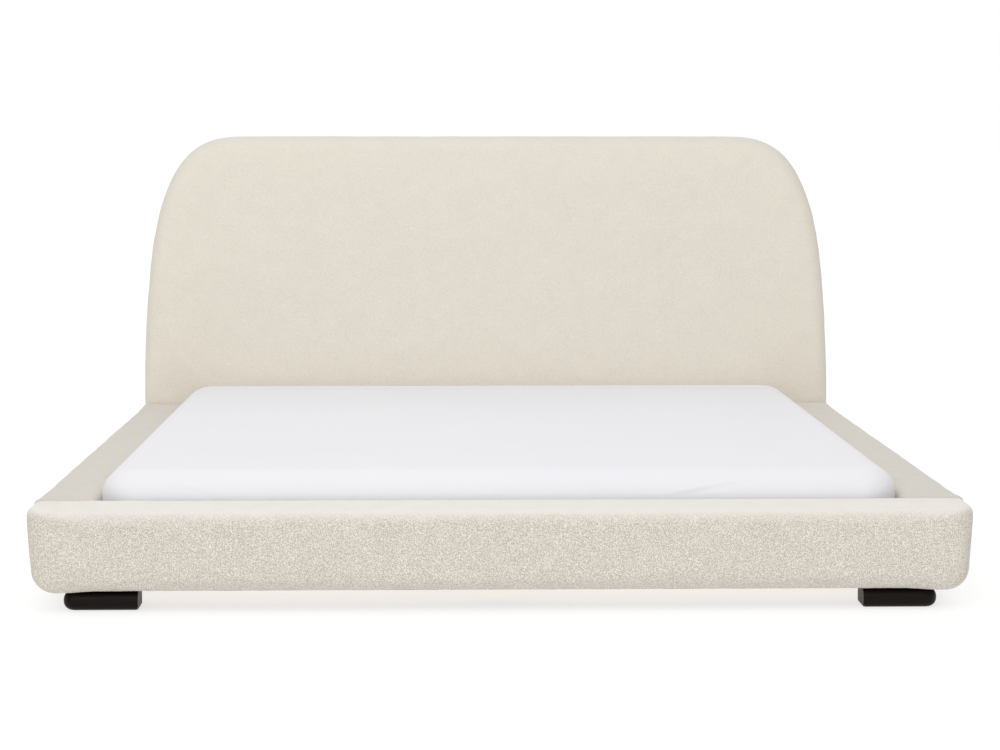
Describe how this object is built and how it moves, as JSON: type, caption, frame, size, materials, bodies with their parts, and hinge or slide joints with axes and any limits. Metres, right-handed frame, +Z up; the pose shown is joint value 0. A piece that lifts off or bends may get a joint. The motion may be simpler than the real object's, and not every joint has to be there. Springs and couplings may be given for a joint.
{
  "type": "upholstered platform bed",
  "caption": "Low king-size platform bed in cream loop-pile cloth with a tall round-shouldered headboard, dark wooden feet and a mattress sunk in a slatted tray.",
  "frame": {"origin": "on the floor, under the middle of the bed's outer box", "axes": "+X to the right as seen from the foot end, +Y from the foot end to the headboard, +Z up"},
  "size_m": [2.23, 2.297, 1.12],
  "materials": {
    "cream_loop_pile": "looped wool-look pile",
    "white_cotton": "smooth percale",
    "black_lacquered_wood": "black-brown satin lacquer",
    "pine": "planed, unfinished",
    "plywood": "sanded, unfinished",
    "foam": "open-cell foam",
    "mattress_ticking": "woven ticking",
    "black_dust_cloth": "spunbonded cloth",
    "zinc_plated_steel": "bright zinc",
    "black_powder_coat": "black powder coat",
    "black_nylon": "moulded",
    "grey_webbing": "woven tape"
  },
  "bodies": {
    "frame": {"beam_hanger_foot": "black_powder_coat", "beam_hanger_head": "black_powder_coat", "centre_beam": "pine", "centre_leg_1": "black_lacquered_wood", "centre_leg_2": "black_lacquered_wood", "foot_front_left": "black_lacquered_wood", "foot_front_right": "black_lacquered_wood", "foot_left_angle": "black_powder_coat", "foot_left_angle_end_bolt": "zinc_plated_steel", "foot_left_angle_side_bolt": "zinc_plated_steel", "foot_rail_box_beam": "plywood", "foot_rail_cover": "cream_loop_pile", "foot_rail_dust_cloth": "black_dust_cloth", "foot_rail_foam": "foam", "foot_rear_left": "black_lacquered_wood", "foot_rear_right": "black_lacquered_wood", "foot_right_angle": "black_powder_coat", "foot_right_angle_end_bolt": "zinc_plated_steel", "foot_right_angle_side_bolt": "zinc_plated_steel", "head_left_angle": "black_powder_coat", "head_left_angle_end_bolt": "zinc_plated_steel", "head_left_angle_side_bolt": "zinc_plated_steel", "head_rail": "pine", "head_right_angle": "black_powder_coat", "head_right_angle_end_bolt": "zinc_plated_steel", "head_right_angle_side_bolt": "zinc_plated_steel", "headboard_back_cloth": "black_dust_cloth", "headboard_bolt_left": "zinc_plated_steel", "headboard_bolt_right": "zinc_plated_steel", "headboard_cover": "cream_loop_pile", "headboard_face_ply": "plywood", "headboard_foam": "foam", "headboard_stud_frame": "pine", "left_ledger": "pine", "left_side_rail_box_beam": "plywood", "left_side_rail_cover": "cream_loop_pile", "left_side_rail_dust_cloth": "black_dust_cloth", "left_side_rail_foam": "foam", "right_ledger": "pine", "right_side_rail_box_beam": "plywood", "right_side_rail_cover": "cream_loop_pile", "right_side_rail_dust_cloth": "black_dust_cloth", "right_side_rail_foam": "foam", "slat_01": "pine", "slat_02": "pine", "slat_03": "pine", "slat_04": "pine", "slat_05": "pine", "slat_06": "pine", "slat_07": "pine", "slat_08": "pine", "slat_09": "pine", "slat_10": "pine", "slat_11": "pine", "slat_12": "pine", "slat_tape": "grey_webbing"},
    "mattress": {"mattress": "mattress_ticking", "fitted_sheet": "white_cotton"},
    "glide_1": {"levelling_glide_1": "black_nylon"},
    "glide_2": {"levelling_glide_2": "black_nylon"}
  },
  "joints": [
    {"name": "mattress_lift", "type": "slide", "parent": "frame", "child": "mattress", "axis": [0, 0, 1], "range_m": [0, 0.45]},
    {"name": "glide_1_height", "type": "slide", "parent": "frame", "child": "glide_1", "axis": [0, 0, 1], "range_m": [-0.008, 0.0035]},
    {"name": "glide_2_height", "type": "slide", "parent": "frame", "child": "glide_2", "axis": [0, 0, 1], "range_m": [-0.008, 0.0035]}
  ]
}
